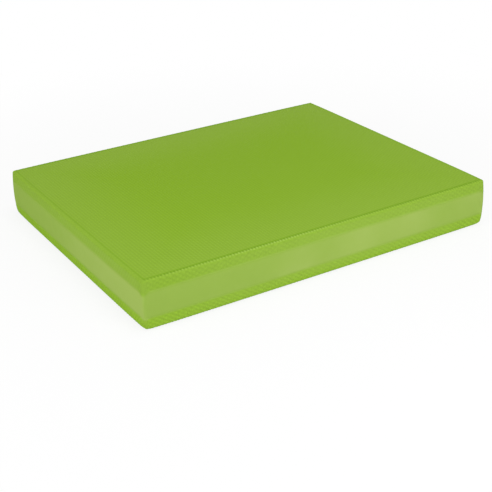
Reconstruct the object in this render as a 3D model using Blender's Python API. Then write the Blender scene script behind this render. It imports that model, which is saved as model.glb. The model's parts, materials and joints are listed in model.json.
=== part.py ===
"""Foam balance pad: two embossed grip skins pressed over a stack of three bonded foam plies.

Metres, +Z up. The origin is the middle of the underside, and the long side runs along X.
"""

import math

import bmesh
import bpy

# Overall size, measured over the swell of the sides.
LENGTH = 0.480
WIDTH = 0.380
HEIGHT = 0.060

# Round corners in plan, and round edges at the two faces.
CORNER_RADIUS = 0.004
TOP_EDGE_RADIUS = 0.0025
BOTTOM_EDGE_RADIUS = 0.004

# The foam swells between the two faces and along each side: at the faces the sides are drawn in by one
# amount, and close to the corners by another, which fades away along the side.
FACE_DRAW_IN = 0.0014
CORNER_DRAW_IN = 0.0010
CORNER_FADE = 8

# Each grip skin covers one face and turns over its edge, down or up the sides.
SKIN_THICKNESS = 0.002
TOP_SKIRT = 0.014
BOTTOM_SKIRT = 0.016

# Bonded faces stand this far apart, so that every piece is a solid of its own.
BOND_GAP = 0.0003

CORNER_SEGMENTS = 5
EDGE_SEGMENTS = 4
SIDE_CUTS = 11
SKIRT_CUTS = 2
CORE_CUTS = 5
SMOOTH_ANGLE = math.radians(35)
SAME_HEIGHT = 1e-6

# Base colours are linear values: a clear leaf green outside, paler and yellower where the foam is bare.
SKIN_GREEN = (0.263, 0.456, 0.042, 1.0)
CORE_GREEN = (0.356, 0.500, 0.100, 1.0)
PLY_GREEN = (0.330, 0.480, 0.085, 1.0)
SKIN_ROUGHNESS = 0.55
FOAM_ROUGHNESS = 0.75


def clear_scene():
    for item in list(bpy.data.objects):
        bpy.data.objects.remove(item, do_unlink=True)


def foam_material(name, colour, roughness):
    material = bpy.data.materials.new(name)
    material.use_nodes = True
    shader = material.node_tree.nodes["Principled BSDF"]
    shader.inputs["Base Color"].default_value = colour
    shader.inputs["Roughness"].default_value = roughness
    shader.inputs["Metallic"].default_value = 0.0
    return material


def is_upright(edge):
    first, second = edge.verts
    return abs(first.co.z - second.co.z) > SAME_HEIGHT


def lies_at(element, height):
    return all(abs(vert.co.z - height) < SAME_HEIGHT for vert in element.verts)


def round_over(bm, edges, radius, segments):
    bmesh.ops.bevel(bm, geom=edges, offset=radius, offset_type="OFFSET", segments=segments,
                    profile=0.5, affect="EDGES", clamp_overlap=False, material=-1)


def rounded_block(low, high, inset):
    """A slab between two heights, set in from the pad's outline, with round corners in plan."""
    bm = bmesh.new()
    bmesh.ops.create_cube(bm, size=1.0)
    size = (LENGTH - 2 * inset, WIDTH - 2 * inset, high - low)
    bmesh.ops.scale(bm, vec=size, verts=bm.verts)
    bmesh.ops.translate(bm, vec=(0, 0, (low + high) / 2), verts=bm.verts)
    uprights = [edge for edge in bm.edges if is_upright(edge)]
    round_over(bm, uprights, CORNER_RADIUS - inset, CORNER_SEGMENTS)
    long_edges = [edge for edge in bm.edges if edge.calc_length() > WIDTH / 2]
    bmesh.ops.subdivide_edges(bm, edges=long_edges, cuts=SIDE_CUTS, use_grid_fill=True)
    return bm


def cut_sides(bm, cuts):
    """Rings round the straight stretch of the sides, for the swell to bend at."""
    tallest = max(edge.calc_length() for edge in bm.edges if is_upright(edge))
    uprights = [edge for edge in bm.edges
                if is_upright(edge) and edge.calc_length() > tallest - SAME_HEIGHT]
    bmesh.ops.subdivide_edges(bm, edges=uprights, cuts=cuts, use_grid_fill=True)


def swell_sides(bm):
    """Draws the sides in towards the faces and the corners, which leaves them swollen in between."""
    for vert in bm.verts:
        up = abs(2 * vert.co.z / HEIGHT - 1)
        along_x = abs(2 * vert.co.x / LENGTH)
        along_y = abs(2 * vert.co.y / WIDTH)
        at_face = FACE_DRAW_IN * up ** 2
        vert.co.x *= 1 - 2 * (at_face + CORNER_DRAW_IN * along_y ** CORNER_FADE) / LENGTH
        vert.co.y *= 1 - 2 * (at_face + CORNER_DRAW_IN * along_x ** CORNER_FADE) / WIDTH


def grip_skin(face_height, rim_height, edge_radius):
    """A shallow tray: one face of the pad, its round edge, and a skirt that ends at a square rim."""
    bm = rounded_block(min(face_height, rim_height), max(face_height, rim_height), 0.0)
    round_over(bm, [edge for edge in bm.edges if lies_at(edge, face_height)], edge_radius, EDGE_SEGMENTS)
    cut_sides(bm, SKIRT_CUTS)
    mouth = next(face for face in bm.faces if lies_at(face, rim_height))
    bmesh.ops.inset_region(bm, faces=[mouth], thickness=SKIN_THICKNESS, use_even_offset=True)
    pushed = bmesh.ops.extrude_face_region(bm, geom=[mouth])
    floor_verts = [item for item in pushed["geom"] if isinstance(item, bmesh.types.BMVert)]
    skirt = face_height - rim_height
    bmesh.ops.translate(bm, vec=(0, 0, skirt - math.copysign(SKIN_THICKNESS, skirt)), verts=floor_verts)
    if mouth.is_valid:
        bmesh.ops.delete(bm, geom=[mouth], context="FACES_ONLY")
    return bm


def foam_ply(low, high, inset, cuts):
    bm = rounded_block(low, high, inset)
    cut_sides(bm, cuts)
    return bm


def add_piece(name, bm, seat, material, carrier=None):
    """Places a piece with its own origin on the pad's upright centre line, at the height of its seat."""
    swell_sides(bm)
    bmesh.ops.recalc_face_normals(bm, faces=bm.faces)
    bmesh.ops.translate(bm, vec=(0, 0, -seat), verts=bm.verts)
    mesh = bpy.data.meshes.new(name)
    bm.to_mesh(mesh)
    bm.free()
    mesh.materials.append(material)
    mesh.shade_smooth()
    mesh.set_sharp_from_angle(angle=SMOOTH_ANGLE)
    piece = bpy.data.objects.new(name, mesh)
    piece.location.z = seat
    if carrier:
        piece.parent = carrier
        piece.location.z = seat - carrier.location.z
    bpy.context.collection.objects.link(piece)


def press_carrier(height):
    """What goes down when the pad is stepped on hangs from this point of the upright centre line."""
    carrier = bpy.data.objects.new("press_carrier", None)
    carrier.location.z = height
    bpy.context.collection.objects.link(carrier)
    return carrier


clear_scene()

lower_rim = BOTTOM_SKIRT
upper_rim = HEIGHT - TOP_SKIRT
skin_and_bond = SKIN_THICKNESS + BOND_GAP

add_piece("bottom_grip_skin",
          grip_skin(0.0, lower_rim, BOTTOM_EDGE_RADIUS),
          0.0,
          foam_material("bottom_grip_skin_green", SKIN_GREEN, SKIN_ROUGHNESS))

add_piece("lower_foam_ply",
          foam_ply(skin_and_bond, lower_rim, skin_and_bond, SKIRT_CUTS),
          skin_and_bond,
          foam_material("lower_foam_green", PLY_GREEN, FOAM_ROUGHNESS))

add_piece("core_foam_ply",
          foam_ply(lower_rim + BOND_GAP, upper_rim - BOND_GAP, 0.0, CORE_CUTS),
          lower_rim + BOND_GAP,
          foam_material("core_foam_green", CORE_GREEN, FOAM_ROUGHNESS))

press = press_carrier(upper_rim)

add_piece("upper_foam_ply",
          foam_ply(upper_rim, HEIGHT - skin_and_bond, skin_and_bond, SKIRT_CUTS),
          upper_rim,
          foam_material("upper_foam_green", PLY_GREEN, FOAM_ROUGHNESS),
          press)

add_piece("top_grip_skin",
          grip_skin(HEIGHT, upper_rim, TOP_EDGE_RADIUS),
          upper_rim,
          foam_material("top_grip_skin_green", SKIN_GREEN, SKIN_ROUGHNESS),
          press)
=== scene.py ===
"""Looks of a foam balance pad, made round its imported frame.

Metres, +Z up, in the frame's own axes: the pad lies on z = 0 with its long sides along X. Its front is at -Y.
"""

import json
import math
from types import SimpleNamespace

import bmesh
import bpy
from mathutils import Matrix, Vector, noise


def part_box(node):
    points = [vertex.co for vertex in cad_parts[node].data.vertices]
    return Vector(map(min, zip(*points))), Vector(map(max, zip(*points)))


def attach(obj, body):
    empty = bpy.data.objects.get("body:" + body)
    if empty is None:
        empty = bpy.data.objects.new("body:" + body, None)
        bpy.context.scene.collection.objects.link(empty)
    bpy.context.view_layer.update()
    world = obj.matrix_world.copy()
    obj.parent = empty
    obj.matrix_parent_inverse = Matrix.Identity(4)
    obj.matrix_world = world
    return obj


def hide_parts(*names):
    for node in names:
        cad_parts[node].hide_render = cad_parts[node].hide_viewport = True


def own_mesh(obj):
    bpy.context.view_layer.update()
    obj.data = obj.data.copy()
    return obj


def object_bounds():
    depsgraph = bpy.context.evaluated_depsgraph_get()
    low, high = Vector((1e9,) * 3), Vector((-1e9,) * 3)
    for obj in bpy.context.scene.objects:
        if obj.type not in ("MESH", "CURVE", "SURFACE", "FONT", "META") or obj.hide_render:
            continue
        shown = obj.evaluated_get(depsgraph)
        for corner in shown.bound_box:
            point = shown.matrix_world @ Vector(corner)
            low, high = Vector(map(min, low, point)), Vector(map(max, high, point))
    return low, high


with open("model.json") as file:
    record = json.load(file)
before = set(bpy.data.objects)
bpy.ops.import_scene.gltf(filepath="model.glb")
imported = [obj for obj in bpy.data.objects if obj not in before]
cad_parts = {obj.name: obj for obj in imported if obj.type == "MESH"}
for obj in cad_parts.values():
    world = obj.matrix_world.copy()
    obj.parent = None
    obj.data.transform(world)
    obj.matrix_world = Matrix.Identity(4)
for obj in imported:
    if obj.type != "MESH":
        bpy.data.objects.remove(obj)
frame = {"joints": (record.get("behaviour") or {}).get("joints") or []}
cad_low, cad_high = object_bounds()

# Core ply
# The middle of the pad is one thickness of soft elastomer foam, left bare round the sides. Its surface is
# heat-sealed, so it is smooth there, paler than the skins, and swells a little between the two faces.

HALF_LENGTH = cad_high.x
HALF_WIDTH = cad_high.y
HEIGHT = cad_high.z
CORNER_RADIUS = 0.004
CORNER_SEGMENTS = 8
FACE_DRAW_IN = 0.0014
CORNER_DRAW_IN = 0.0010
CORNER_FADE = 8
BUTT_GAP = 0.00002

CORE_RINGS = 24
SIDE_STEP = 0.004
SIDE_WAVE = 0.00015
WAVE_LENGTH = 0.05
WAVE_MARGIN = 0.006
ALONG_AXIS = 0.999
SHARP_ANGLE = math.radians(40)

CORE_GREEN = (0.300, 0.444, 0.076, 1.0)
CORE_LIGHT_GREEN = (0.352, 0.480, 0.107, 1.0)
SKIN_GREEN = (0.262, 0.432, 0.046, 1.0)
FOAM_SHINE = 0.01
CORE_ROUGHNESS = 0.62
CELL_ROUGHNESS = 0.12
CELL_SIZE = 0.0009
FINE_DETAIL = 3.0
GRAIN_STRENGTH = 0.2
GRAIN_DEPTH = 0.0002

# The foam is mottled in small blotches and large pale patches. The long sides also grow a little paler
# towards +X and the short sides towards the front, and the colour changes sharply at the upright edges.
BLOTCH_SIZE = 0.014
BLOTCH_CONTRAST = 0.4
PATCH_SIZE = 0.07
PATCH_PLACE = Vector((1.2, 23.4, 23.9))
PATCH_CONTRAST = 0.8
LONG_SIDE_PALENESS = 0.57
LONG_SIDE_FADE = 1.6
SHORT_SIDE_PATCHES = 0.2
SHORT_SIDE_FADE = 0.3
EDGE_BLEND = 0.003

# Where the skins are fused on, their green runs into the core's. Round the upright edges the upper skin was
# drawn further down the core, and the lower one less far up.
MELT_WIDTH = 0.0025
MELT_BLOTCH_SIZE = 0.004
MELT_BLOTCH_CONTRAST = 0.2
UPPER_CORNER_DIP = 0.0035
LOWER_CORNER_DIP = -0.002
CORNER_DIP_WIDTH = 0.010


def eased(share):
    """A share held to 0 and 1, and eased at both ends."""
    share = min(1.0, max(0.0, share))
    return share * share * (3 - 2 * share)


def blend(first, second, share):
    """The value that share of the way from the first to the second. They may be numbers or wires."""
    return first + (second - first) * share


def swollen(spot):
    """Where a point of a straight-sided pad lies once its sides are drawn in at the faces and the corners."""
    at_face = FACE_DRAW_IN * (2 * spot.z / HEIGHT - 1) ** 2
    x_in = at_face + CORNER_DRAW_IN * abs(spot.y / HALF_WIDTH) ** CORNER_FADE
    y_in = at_face + CORNER_DRAW_IN * abs(spot.x / HALF_LENGTH) ** CORNER_FADE
    return Vector((spot.x * (1 - x_in / HALF_LENGTH), spot.y * (1 - y_in / HALF_WIDTH), spot.z))


def from_upright_edge(spot):
    """How far a point of the sides is from the nearest upright edge."""
    return max(HALF_LENGTH - abs(spot.x), HALF_WIDTH - abs(spot.y))


def skin_share(past_rim, corner_dip, spot):
    """How far the foam shows the skin's green, at that distance past the skin's rim."""
    past_rim -= corner_dip * (1 - eased(from_upright_edge(spot) / CORNER_DIP_WIDTH))
    return 1 - eased((past_rim + MELT_WIDTH) / (2 * MELT_WIDTH))


def core_paleness(spot):
    """How pale the bare foam is at a point of the core's sides, from 0 to 1."""
    patch = noise.noise(spot / PATCH_SIZE + PATCH_PLACE)
    on_long_side = eased(LONG_SIDE_PALENESS + spot.x / LONG_SIDE_FADE + PATCH_CONTRAST * patch)
    on_short_side = eased(0.5 - spot.y / SHORT_SIDE_FADE + SHORT_SIDE_PATCHES * patch)
    past_edge = abs(spot.x) - HALF_LENGTH - abs(spot.y) + HALF_WIDTH
    return blend(on_long_side, on_short_side, eased(0.5 + past_edge / (2 * EDGE_BLEND)))


def runs_along(edge, axis):
    """Whether a straight edge runs along that axis."""
    first, second = edge.verts
    return abs((second.co - first.co).normalized()[axis]) > ALONG_AXIS


def foam_slab(low, high, inset, rings, side_step):
    """A slab of foam with round corners in plan, its sides cut finely enough to swell and wave."""
    bm = bmesh.new()
    bmesh.ops.create_cube(bm, size=1.0)
    size = (2 * (HALF_LENGTH - inset), 2 * (HALF_WIDTH - inset), high - low)
    bmesh.ops.scale(bm, vec=size, verts=bm.verts)
    bmesh.ops.translate(bm, vec=(0, 0, (low + high) / 2), verts=bm.verts)
    uprights = [edge for edge in bm.edges if runs_along(edge, 2)]
    bmesh.ops.bevel(bm, geom=uprights, offset=CORNER_RADIUS - inset, offset_type="OFFSET",
                    segments=CORNER_SEGMENTS, profile=0.5, affect="EDGES", clamp_overlap=False, material=-1)
    for axis in (0, 1):
        sides = [edge for edge in bm.edges if runs_along(edge, axis) and edge.calc_length() > side_step]
        bmesh.ops.subdivide_edges(bm, edges=sides, cuts=round(size[axis] / side_step), use_grid_fill=True)
    uprights = [edge for edge in bm.edges if runs_along(edge, 2)]
    bmesh.ops.subdivide_edges(bm, edges=uprights, cuts=rings - 1, use_grid_fill=True)
    return bm


def piece_from(bm, name, material):
    """An object of the finished mesh, at the origin, smooth but for its square edges."""
    mesh = bpy.data.meshes.new(name)
    bm.to_mesh(mesh)
    bm.free()
    mesh.shade_smooth()
    mesh.set_sharp_from_angle(angle=SHARP_ANGLE)
    mesh.materials.append(material)
    piece = bpy.data.objects.new(name, mesh)
    bpy.context.scene.collection.objects.link(piece)
    return piece


class Wire:
    """An output in a material's nodes. Arithmetic on it adds Math nodes, and add() any other node."""

    def __init__(self, tree, socket=None):
        self.tree = tree
        self.socket = socket

    def add(self, kind, settings=(), sockets=(), output=0):
        node = self.tree.nodes.new(kind)
        for name, value in dict(settings).items():
            setattr(node, name, value)
        for name, value in dict(sockets).items():
            self.feed(node.inputs[name], value)
        return Wire(self.tree, node.outputs[output])

    def feed(self, socket, value):
        if isinstance(value, Wire):
            self.tree.links.new(value.socket, socket)
        else:
            socket.default_value = value

    def math(self, operation, first, second):
        return self.add("ShaderNodeMath", {"operation": operation}, {0: first, 1: second})

    def __add__(self, other):
        return self.math("ADD", self, other)

    def __radd__(self, other):
        return self.math("ADD", other, self)

    def __sub__(self, other):
        return self.math("SUBTRACT", self, other)

    def __rsub__(self, other):
        return self.math("SUBTRACT", other, self)

    def __mul__(self, other):
        return self.math("MULTIPLY", self, other)

    def __rmul__(self, other):
        return self.math("MULTIPLY", other, self)


def new_finish(name):
    """A material, a wire to add its nodes with, and its shader, which has the low shine of foam."""
    material = bpy.data.materials.new(name)
    material.use_nodes = True
    shader = material.node_tree.nodes["Principled BSDF"]
    shader.inputs["Specular IOR Level"].default_value = FOAM_SHINE
    return material, Wire(material.node_tree), shader


def attribute(paint, name):
    """A value that the mesh carries at its points."""
    return paint.add("ShaderNodeAttribute", {"attribute_name": name}, output="Fac")


def place(paint):
    """The point that is painted, in the frame's axes."""
    return paint.add("ShaderNodeTexCoord", output="Object")


def mottle(paint, size, detail=2.0):
    """Soft noise from 0 to 1, in patches of about that size."""
    sockets = {"Vector": place(paint), "Scale": 1 / size, "Detail": detail}
    return paint.add("ShaderNodeTexNoise", sockets=sockets)


def blotches(paint, size, contrast):
    """Soft noise about 0, with that range from the darkest to the lightest."""
    return contrast * (mottle(paint, size) - 0.5)


def colours_mixed(paint, share, first, second):
    """The colour that share of the way from the first to the second."""
    return paint.add("ShaderNodeMix", {"data_type": "RGBA"}, {0: share, 6: first, 7: second}, output=2)


def bumped(paint, strength, depth, height, over=()):
    """A normal for that relief, laid over another where one is given."""
    sockets = {"Strength": strength, "Distance": depth, "Height": height, **dict(over)}
    return paint.add("ShaderNodeBump", sockets=sockets)


def core_finish():
    """Smooth, heat-sealed foam with a faint grain of cells."""
    material, paint, shader = new_finish("sealed_core_foam")
    cells = mottle(paint, CELL_SIZE, FINE_DETAIL)
    pale = attribute(paint, "pale") + blotches(paint, BLOTCH_SIZE, BLOTCH_CONTRAST)
    melted = attribute(paint, "melted") + blotches(paint, MELT_BLOTCH_SIZE, MELT_BLOTCH_CONTRAST)
    bare = colours_mixed(paint, pale, CORE_GREEN, CORE_LIGHT_GREEN)
    paint.feed(shader.inputs["Base Color"], colours_mixed(paint, melted, bare, SKIN_GREEN))
    paint.feed(shader.inputs["Roughness"], CORE_ROUGHNESS + CELL_ROUGHNESS * cells)
    paint.feed(shader.inputs["Normal"], bumped(paint, GRAIN_STRENGTH, GRAIN_DEPTH, cells))
    return material


lower_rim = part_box("bottom_grip_skin")[1].z
upper_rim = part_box("top_grip_skin")[0].z
core_low = lower_rim + BUTT_GAP
core_high = upper_rim - BUTT_GAP

bm = foam_slab(core_low, core_high, 0.0, CORE_RINGS, SIDE_STEP)
melted_layer = bm.verts.layers.float.new("melted")
pale_layer = bm.verts.layers.float.new("pale")
for vert in bm.verts:
    below, above = core_high - vert.co.z, vert.co.z - core_low
    vert[melted_layer] = max(skin_share(below, UPPER_CORNER_DIP, vert.co),
                             skin_share(above, LOWER_CORNER_DIP, vert.co))
    vert[pale_layer] = core_paleness(vert.co)
    wave = SIDE_WAVE * eased(min(below, above) / WAVE_MARGIN) * noise.noise(vert.co / WAVE_LENGTH)
    outward = Vector((vert.co.x / HALF_LENGTH, vert.co.y / HALF_WIDTH, 0.0))
    vert.co = swollen(vert.co) + outward * wave
core = piece_from(bm, "core_foam", core_finish())
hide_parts("core_foam_ply")
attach(core, "base")
press = frame["joints"][0]
travel = max(abs(limit) for limit in press["range_m"])
1 - travel / (core_high - core_low)
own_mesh(core)

# Upper and lower plies
# Softer foam fills the tray of each grip skin and is fused to the skin and to the core. It is cut from
# sheet, so its faces show fine closed cells. None of it shows on a whole pad.

PLY_RINGS = 4
PLY_STEP = 0.02
PLY_GREEN = (0.330, 0.480, 0.085, 1.0)
CELL_WALL_GREEN = (0.290, 0.440, 0.070, 1.0)
CELLS_PER_METRE = 900.0
CUT_ROUGHNESS = 0.8
CELL_WALL_SHINE = 0.1
PORE_STRENGTH = 0.3
PORE_DEPTH = 0.0003

# The bottom corners are pressed round, in and up from the floor. What lies behind the skin gives way more.
TIP_IN = 0.0006
TIP_UP = 0.0005
TIP_REACH = 0.010
INNER_TIP_DEPTH = 2.0


def pressed_tip(spot, depth=1.0):
    """Where a point of a bottom corner lies once the corner is pressed round. Other points stay."""
    share = (1 - eased(from_upright_edge(spot) / TIP_REACH)) * (1 - eased(spot.z / TIP_REACH))
    inward = Vector((-math.copysign(TIP_IN, spot.x), -math.copysign(TIP_IN, spot.y), TIP_UP))
    return spot + depth * share * inward


def ply_finish():
    """Cut foam, with the walls of its cells a little darker and smoother."""
    material, paint, shader = new_finish("cut_foam")
    cells = paint.add("ShaderNodeTexVoronoi", sockets={"Vector": place(paint), "Scale": CELLS_PER_METRE},
                      output="Distance")
    paint.feed(shader.inputs["Base Color"], colours_mixed(paint, cells, PLY_GREEN, CELL_WALL_GREEN))
    paint.feed(shader.inputs["Roughness"], CUT_ROUGHNESS - CELL_WALL_SHINE * cells)
    paint.feed(shader.inputs["Normal"], bumped(paint, PORE_STRENGTH, PORE_DEPTH, cells))
    return material


cut_foam = ply_finish()
for name, node, body in (("lower_fill_foam", "lower_foam_ply", "base"),
                         ("upper_fill_foam", "upper_foam_ply", "standing_top")):
    low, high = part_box(node)
    bm = foam_slab(low.z, high.z, HALF_LENGTH - high.x - FACE_DRAW_IN / 2, PLY_RINGS, PLY_STEP)
    for vert in bm.verts:
        vert.co = swollen(pressed_tip(vert.co, INNER_TIP_DEPTH))
    ply = piece_from(bm, name, cut_foam)
    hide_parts(node)
    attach(ply, body)

# Grip skins
# One foam sheet covers each face, turns over its edge and runs part of the way along the sides. It is
# embossed with beads in offset rows, and pressed hot over the plies, so that its hem melts into the core.

SKIN_THICKNESS = 0.002
ROW_PITCH = 0.0039
BEAD_PITCH = 0.0054
BEAD_DEPTH = 0.0005
LINES_PER_PITCH = 3
SKIRT_STEP = 0.0013
CORNER_SMEAR = 0.003

# The middle of a face, where it is stood on, is worn flatter than its ends.
WEAR = 0.6
WORN_LENGTH = 0.17
WORN_WIDTH = 0.20

# The colour lies between the pits' green at 0 and the crowns' at 1: painted shade in the pits and painted
# light on the crowns, in place of the beads' own shading. On the face it follows the rows most. On the skirts
# it follows one slant between offset beads more than the other, as the light falls there. Where the beads are
# smoothed away it stays nearer the pits' green, which is painted shade too. Crease and beads are fainter on
# the short sides.
FLAT_SHADE = 0.25
BEADED_SHADE = 0.25
ROW_CONTRAST = 0.25
SKIRT_ROW_CONTRAST = 0.02
SLANT_CONTRAST = 0.09
SKIRT_BLEND = 0.0025
SHORT_SIDE_SHARE = 0.5
SIDE_BLEND = 0.02

# The sheet is paler towards the border of a face and on the skirts, more so near the middle of the long sides
# and at the front end of the short ones. Towards the back of the face it is paler still, which is a painted
# sheen. The colour also drifts a little from place to place.
PALE_BORDER = 0.12
BORDER_PALENESS = 0.26
BACK_SHEEN = 0.45
PALEST_X = 0.03
DRIFT = 0.05
DRIFT_SIZE = 0.12
DRIFT_LOW = 0.3
DRIFT_HIGH = 0.7

# A shallow crease runs round the standing face, just inside its edge, with painted shade in it. Along the
# long sides the rows of beads cross the edge and show there as a fine row of teeth, with painted highlights
# on them that are brightest towards -X, and painted shade in the gaps above them.
CREASE_PLACE = -0.0008
CREASE_WIDTH = 0.0022
CREASE_SHADE_GREEN = (0.210, 0.384, 0.023, 1.0)
TEETH_PLACE = 0.0026
TEETH_WIDTH = 0.0024
TEETH_CONTRAST = 0.5
TEETH_FADE = 0.8
TEETH_FADE_REACH = 0.08
TOOTH_HIGHLIGHT_GREEN = (0.38, 0.56, 0.12, 1.0)
TOOTH_HIGHLIGHT = 0.65
GAPS_PLACE = 0.0007
GAP_SHADE_GREEN = (0.14, 0.28, 0.015, 1.0)
GAP_SHADE = 0.75

# The embossing is also sharpened, and the sheet has a fine matt grain.
BEAD_SHARPNESS = 0.4
CREASE_BUMP = 0.2
GRAIN_SIZE = 0.0007
SKIN_ROUGHNESS = 0.5
GRAIN_ROUGHNESS = 0.1
PIT_ROUGHNESS = 0.06

# What differs between the two sheets. The lower one's greens are lighter, which is painted light from the
# floor.
# Its short sides are paled less, which is painted shade on its lower skirts there. It has no crease.
bottom_sheet = SimpleNamespace(
    piece="bottom_skin", node="bottom_grip_skin", body="base", finish="bottom_embossed_skin",
    face=0.0, rim=lower_rim, edge_radius=0.004, corner_dip=LOWER_CORNER_DIP,
    crease_depth=0.0, crease_share=0.0,
    shaded_pit_green=(0.236, 0.408, 0.0240, 1.0), lit_crown_green=(0.316, 0.546, 0.0320, 1.0),
    rising_contrast=0.10, falling_contrast=0.30,
    skirt_paleness=0.18, end_paleness=0.2, back_paling=0.0, front_paling=0.35)
top_sheet = SimpleNamespace(
    piece="top_skin", node="top_grip_skin", body="standing_top", finish="top_embossed_skin",
    face=HEIGHT, rim=upper_rim, edge_radius=0.0025, corner_dip=UPPER_CORNER_DIP,
    crease_depth=0.0001, crease_share=1.0,
    shaded_pit_green=(0.217, 0.379, 0.0236, 1.0), lit_crown_green=(0.271, 0.473, 0.0294, 1.0),
    rising_contrast=0.25, falling_contrast=0.16,
    skirt_paleness=0.20, end_paleness=1.0, back_paling=0.4, front_paling=1.0)


class Fold:
    """The section of a skin from its face, round the edge and along the skirt."""

    def __init__(self, edge_radius, skirt):
        self.radius = edge_radius
        self.flat = CORNER_RADIUS - edge_radius
        self.arc = edge_radius * math.pi / 2
        self.reach = self.flat + self.arc + skirt - edge_radius

    def at(self, run):
        """How far out and how far down the section lies after that run along it, and its lean from level."""
        lean = min(math.pi / 2, max(0.0, (run - self.flat) / self.radius))
        out = min(run, self.flat) + self.radius * math.sin(lean)
        down = self.radius * (1 - math.cos(lean)) + max(0.0, run - self.flat - self.arc)
        return out, down, lean


class Span:
    """The lines of a skin's grid in one direction: a few to a pitch on the face, and more on the skirts."""

    def __init__(self, half_face, pitch, reach):
        self.half = half_face
        self.face_lines = round(half_face / pitch * LINES_PER_PITCH)
        self.skirt_lines = round(reach / SKIRT_STEP)
        self.lines = 2 * (self.face_lines + self.skirt_lines)
        self.pitch = LINES_PER_PITCH * half_face / self.face_lines
        self.skirt_step = reach / self.skirt_lines

    def at(self, share):
        """Where a line lies on the face, and how far it runs past the face's edge.

        The share counts from -1 at the grid's one end to 1 at its other.
        """
        from_middle = round(share * self.lines / 2)
        past = abs(from_middle) - self.face_lines
        from_centre = min(self.half, abs(from_middle) * self.pitch / LINES_PER_PITCH)
        return math.copysign(from_centre, from_middle), max(0, past) * self.skirt_step

    def inside(self, on_face):
        """How far a place on the face is from the face's edge."""
        return self.half - abs(on_face)


def bead_dip(rows, beads, cosine):
    """Depth of the embossing, from 0 on the crowns to 1 in the pits, that many rows across and beads along.

    Every other row of beads is offset by half a bead.
    """
    crown, pit = 3.0, -1.5
    height = cosine(rows) + 2 * cosine(beads) * cosine(0.5 * rows)
    return crown / (crown - pit) - height * (1 / (crown - pit))


def cosine_of_turns(turns):
    return math.cos(2 * math.pi * turns)


def cosine_of_wire(turns):
    return turns.math("COSINE", 2 * math.pi * turns, 0.0)


def bead_relief(x, y, to_rim, round_corner):
    """How much of the beads' depth is left: none at the hem or round a corner, and less where it is worn."""
    hem = eased(to_rim / MELT_WIDTH)
    corner = 1 - eased(round_corner / CORNER_SMEAR)
    worn = WEAR * math.exp(-(x / WORN_LENGTH) ** 2 - (y / WORN_WIDTH) ** 2)
    return hem * corner * (1 - worn)


def skirt_paling(x, y, half_length, long_side, sheet):
    """How much the skirt is paled there, from 0 to 1."""
    on_short_side = blend(sheet.back_paling, sheet.front_paling, eased(0.5 - y / SHORT_SIDE_FADE))
    on_long_side = max(0.0, 1 - ((x - PALEST_X) / half_length) ** 2)
    return blend(on_short_side, on_long_side, long_side)


def tooth_highlight_share(x, half_length):
    """How bright the painted highlights on the teeth are at that place along a long side, from 0 to 1."""
    fade = TEETH_FADE * eased(0.5 + x / (2 * TEETH_FADE_REACH))
    return (1 - (x / half_length) ** 2) * (1 - fade)


def turned_over(x, y, past_x, past_y, fold, face, up):
    """Where a point of the flat sheet lies once it is turned over the edge, and which way it faces there."""
    run = max(past_x, past_y)
    # On a corner the grid turns round the upright edge.
    turn = math.pi / 4 * (min(past_x, past_y) / run if run else 0.0)
    if past_y > past_x:
        turn = math.pi / 2 - turn
    to_x, to_y = math.copysign(math.cos(turn), x), math.copysign(math.sin(turn), y)
    out, down, lean = fold.at(run)
    spot = Vector((x + to_x * out, y + to_y * out, face - up * down))
    facing = Vector((to_x * math.sin(lean), to_y * math.sin(lean), up * math.cos(lean)))
    return spot, facing


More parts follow.
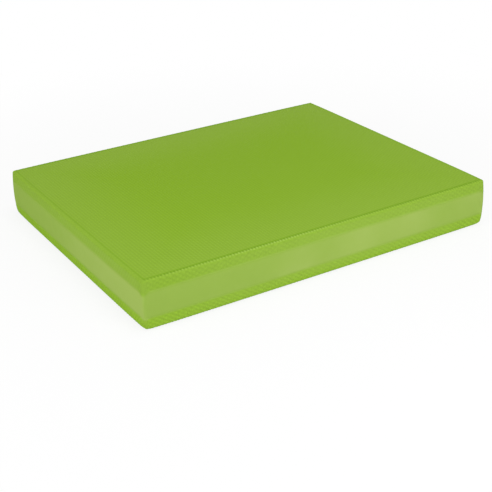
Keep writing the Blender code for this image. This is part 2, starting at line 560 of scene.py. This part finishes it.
def grip_skin(sheet):
    """A sheet pressed into a tray: its embossed outside, and the rim, inner wall and ceiling behind it."""
    up = math.copysign(1, sheet.face - sheet.rim)
    fold = Fold(sheet.edge_radius, abs(sheet.face - sheet.rim))
    across_x = Span(HALF_LENGTH - CORNER_RADIUS, ROW_PITCH, fold.reach)
    across_y = Span(HALF_WIDTH - CORNER_RADIUS, BEAD_PITCH, fold.reach)
    row_pitch, bead_pitch = across_x.pitch, across_y.pitch
    bm = bmesh.new()
    layers = {name: bm.verts.layers.float.new(name)
              for name in ("rows", "beads", "relief", "past_edge", "paleness", "long_side", "teeth")}
    bmesh.ops.create_grid(bm, x_segments=across_x.lines, y_segments=across_y.lines, size=1.0)
    for vert in bm.verts:
        x, past_x = across_x.at(vert.co.x)
        y, past_y = across_y.at(vert.co.y)
        run = max(past_x, past_y)
        inside = min(across_x.inside(x), across_y.inside(y))
        # Every other row of beads is offset, and so are the grid's points on it.
        offset_row = 1 - abs(1 - x / row_pitch % 2)
        y += bead_pitch / (2 * LINES_PER_PITCH) * offset_row * eased(inside / bead_pitch)
        long_side = eased(0.5 + (across_x.inside(x) - across_y.inside(y)) / (2 * SIDE_BLEND))
        rows = (x + math.copysign(past_x, x)) / row_pitch
        beads = (y + math.copysign(past_y, y)) / bead_pitch
        past_edge, to_rim = run - inside, fold.reach - run
        relief = bead_relief(x, y, to_rim, min(past_x, past_y))
        crease = math.exp(-((past_edge - CREASE_PLACE) / CREASE_WIDTH) ** 2)
        crease *= blend(SHORT_SIDE_SHARE, 1.0, long_side)
        sunk = BEAD_DEPTH * bead_dip(rows, beads, cosine_of_turns) * relief + sheet.crease_depth * crease
        spot, facing = turned_over(x, y, past_x, past_y, fold, sheet.face, up)
        paling = skirt_paling(x, y, across_x.half, long_side, sheet) * eased((run - fold.arc) / fold.arc)
        own_green = (1 - sheet.skirt_paleness * paling) * skin_share(-to_rim, sheet.corner_dip, spot)
        values = {"rows": rows, "beads": beads, "relief": relief, "past_edge": past_edge,
                  "paleness": 1 - own_green, "long_side": long_side, "teeth": tooth_highlight_share(x, across_x.half)}
        for name, layer in layers.items():
            vert[layer] = values[name]
        vert.co = swollen(pressed_tip(spot - facing * sunk))
    for inset, height in ((SKIN_THICKNESS, sheet.rim), (0.0, sheet.face - up * SKIN_THICKNESS)):
        border = [edge for edge in bm.edges if edge.is_boundary]
        pushed = bmesh.ops.extrude_edge_only(bm, edges=border)["geom"]
        for vert in pushed:
            if isinstance(vert, bmesh.types.BMVert):
                vert.co.x *= 1 - inset / HALF_LENGTH
                vert.co.y *= 1 - inset / HALF_WIDTH
                vert.co.z = height
                vert.co = pressed_tip(vert.co, INNER_TIP_DEPTH)
    border = [edge for edge in bm.edges if edge.is_boundary]
    ceiling = bmesh.ops.contextual_create(bm, geom=border)["faces"]
    bmesh.ops.poke(bm, faces=ceiling)
    bmesh.ops.recalc_face_normals(bm, faces=bm.faces)
    return piece_from(bm, sheet.piece, skin_finish(sheet))


def between(paint, value, low, high):
    """The value's share of the way from low to high, held to 0 and 1 and eased."""
    return paint.add("ShaderNodeMapRange", {"interpolation_type": "SMOOTHSTEP"},
                     {"Value": value, "From Min": low, "From Max": high})


def near(paint, value, spot, width):
    """1 where the value is at that spot, eased to 0 at that width on either side."""
    return 1 - between(paint, paint.math("ABSOLUTE", value - spot, 0.0), 0.0, width)


def skin_finish(sheet):
    """Embossed foam sheet, with all that colours it from its beads to its melted hem, including painted light
    and shade.
    """
    material, paint, shader = new_finish(sheet.finish)
    rows, beads, relief, past_edge, long_side = (
        attribute(paint, layer) for layer in ("rows", "beads", "relief", "past_edge", "long_side"))
    row_wave = cosine_of_wire(rows)
    crown = 0.5 + 0.5 * row_wave
    skirt = between(paint, past_edge, 0.0, SKIRT_BLEND)
    side_share = blend(SHORT_SIDE_SHARE, 1.0, long_side)
    teeth = long_side * near(paint, past_edge, TEETH_PLACE, TEETH_WIDTH)
    gaps = long_side * near(paint, past_edge, GAPS_PLACE, TEETH_WIDTH)
    crease = sheet.crease_share * side_share * near(paint, past_edge, CREASE_PLACE, CREASE_WIDTH)

    # Painted light and shade of the beads: along the rows, stronger on the teeth, and along the two slants.
    shade = (blend(ROW_CONTRAST, SKIRT_ROW_CONTRAST, skirt) + TEETH_CONTRAST * teeth) * row_wave
    for contrast, half_bead in ((sheet.rising_contrast, 0.5), (sheet.falling_contrast, -0.5)):
        slant_contrast = blend(SLANT_CONTRAST, contrast * side_share, skirt)
        shade = shade + slant_contrast * cosine_of_wire(beads + half_bead * rows)
    shade = FLAT_SHADE + (BEADED_SHADE + shade) * relief
    colour = colours_mixed(paint, shade, sheet.shaded_pit_green, sheet.lit_crown_green)

    end_share = blend(sheet.end_paleness, 1.0, long_side)
    back = between(paint, paint.add("ShaderNodeSeparateXYZ", sockets={0: place(paint)}, output="Y"),
                   0.0, HALF_WIDTH)
    border = BORDER_PALENESS * end_share * between(paint, past_edge, -PALE_BORDER, 0.0)
    # Towards the back the face is paler still: a painted sheen.
    border = border * (1 + BACK_SHEEN * back * (1 - skirt))
    drift = DRIFT * between(paint, mottle(paint, DRIFT_SIZE), DRIFT_LOW, DRIFT_HIGH)
    # Painted highlights on the teeth and painted shade in the gaps. The crease's green below is painted shade
    # too.
    lit_teeth = sheet.crease_share * TOOTH_HIGHLIGHT * attribute(paint, "teeth") * teeth * crown
    shaded_gaps = sheet.crease_share * GAP_SHADE * gaps * (1 - crown)
    for share, green in ((border + drift, CORE_GREEN), (crease, CREASE_SHADE_GREEN), (lit_teeth, TOOTH_HIGHLIGHT_GREEN),
                         (shaded_gaps, GAP_SHADE_GREEN), (attribute(paint, "paleness"), CORE_LIGHT_GREEN)):
        colour = colours_mixed(paint, share, colour, green)
    paint.feed(shader.inputs["Base Color"], colour)

    dip = bead_dip(rows, beads, cosine_of_wire) * relief
    grain = mottle(paint, GRAIN_SIZE, FINE_DETAIL)
    paint.feed(shader.inputs["Roughness"], SKIN_ROUGHNESS + GRAIN_ROUGHNESS * grain + PIT_ROUGHNESS * dip)
    embossing = bumped(paint, BEAD_SHARPNESS, BEAD_DEPTH, 1 - dip - CREASE_BUMP * crease)
    texture = bumped(paint, GRAIN_STRENGTH, GRAIN_DEPTH, grain, {"Normal": embossing})
    paint.feed(shader.inputs["Normal"], texture)
    return material


for sheet in (bottom_sheet, top_sheet):
    skin = grip_skin(sheet)
    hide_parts(sheet.node)
    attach(skin, sheet.body)

# Studio
# A plain white floor under four soft lamps. What the camera sees of it goes over to plain white away from
# the pad, and near the pad it keeps the pad's soft shadow.

FLOOR_SIZE = 30.0
WHITE = (1.0, 1.0, 1.0, 1.0)
FLOOR_WHITE = (0.9, 0.9, 0.9, 1.0)
FLOOR_GLOW = 0.86
SHADOW_END = 0.8
WORLD_LIGHT = 0.38
LAMP_WIDTH = 0.7


def seen_directly(paint):
    """1 for what the camera sees, also in a mirror or through glass, and 0 for light on its way elsewhere."""
    return sum(paint.add("ShaderNodeLightPath", output=kind + " Ray")
               for kind in ("Is Camera", "Is Glossy", "Is Transmission"))


bm = bmesh.new()
bmesh.ops.create_grid(bm, x_segments=1, y_segments=1, size=FLOOR_SIZE / 2)
material, paint, shader = new_finish("white_floor")
from_pad = paint.add("ShaderNodeVectorMath", {"operation": "LENGTH"}, {0: place(paint)}, output="Value")
past_shadow = between(paint, from_pad, HALF_LENGTH, SHADOW_END)
share = seen_directly(paint) * blend(FLOOR_GLOW, 1.0, past_shadow)
matte = paint.add("ShaderNodeBsdfDiffuse", sockets={"Color": FLOOR_WHITE})
glow = paint.add("ShaderNodeEmission", sockets={"Color": WHITE, "Strength": 1.0})
shown = paint.add("ShaderNodeMixShader", sockets={0: share, 1: matte, 2: glow})
paint.feed(material.node_tree.nodes["Material Output"].inputs["Surface"], shown)
material.node_tree.nodes.remove(shader)
floor = piece_from(bm, "floor", material)

world = bpy.data.worlds.new("studio")
bpy.context.scene.world = world
world.use_nodes = True
sky = Wire(world.node_tree)
background = world.node_tree.nodes["Background"]
background.inputs["Color"].default_value = WHITE
sky.feed(background.inputs["Strength"], blend(WORLD_LIGHT, 1.0, seen_directly(sky)))

for name, lamp_place, watts in (("left_lamp", (-1.3, -0.15, 0.6), 6.6),
                                ("front_lamp", (0.08, -1.05, 0.45), 4.75),
                                ("overhead_lamp", (0.1, -0.25, 1.6), 8.2),
                                ("back_lamp", (0.9, 1.1, 0.3), 4.5)):
    lamp = bpy.data.lights.new(name, "AREA")
    lamp.size = LAMP_WIDTH
    lamp.energy = watts
    holder = bpy.data.objects.new(name, lamp)
    holder.location = lamp_place
    holder.rotation_euler = (-Vector(lamp_place)).to_track_quat("-Z", "Y").to_euler()
    holder.visible_camera = False
    # The back lamp is low, and would glare on the standing face.
    holder.visible_glossy = name != "back_lamp"
    bpy.context.scene.collection.objects.link(holder)

# Camera
# It stands where the photograph was taken from. Its angles, distance, aim and lens were fitted to the pad's
# outline there.

AZIMUTH = math.radians(-31.154)
ELEVATION = math.radians(26.077)
ROLL = math.radians(-1.597)
DISTANCE = 1.2299
AIM = Vector((-0.0729, -0.1251, 0.030))
PICTURE_WIDTH_PX = 492
LENS_LENGTH_PX = 1058.1
SENSOR_MM = 36.0

to_camera = Vector((math.sin(AZIMUTH) * math.cos(ELEVATION), -math.cos(AZIMUTH) * math.cos(ELEVATION),
                    math.sin(ELEVATION)))
lens = bpy.data.cameras.new("camera")
lens.sensor_width = SENSOR_MM
lens.lens = SENSOR_MM * LENS_LENGTH_PX / PICTURE_WIDTH_PX
camera = bpy.data.objects.new("camera", lens)
turned = to_camera.to_track_quat("Z", "Y").to_matrix() @ Matrix.Rotation(ROLL, 3, "Z")
camera.matrix_world = Matrix.Translation(AIM + DISTANCE * to_camera) @ turned.to_4x4()
bpy.context.scene.collection.objects.link(camera)
bpy.context.scene.camera = camera
bpy.context.scene.view_settings.view_transform = "Standard"
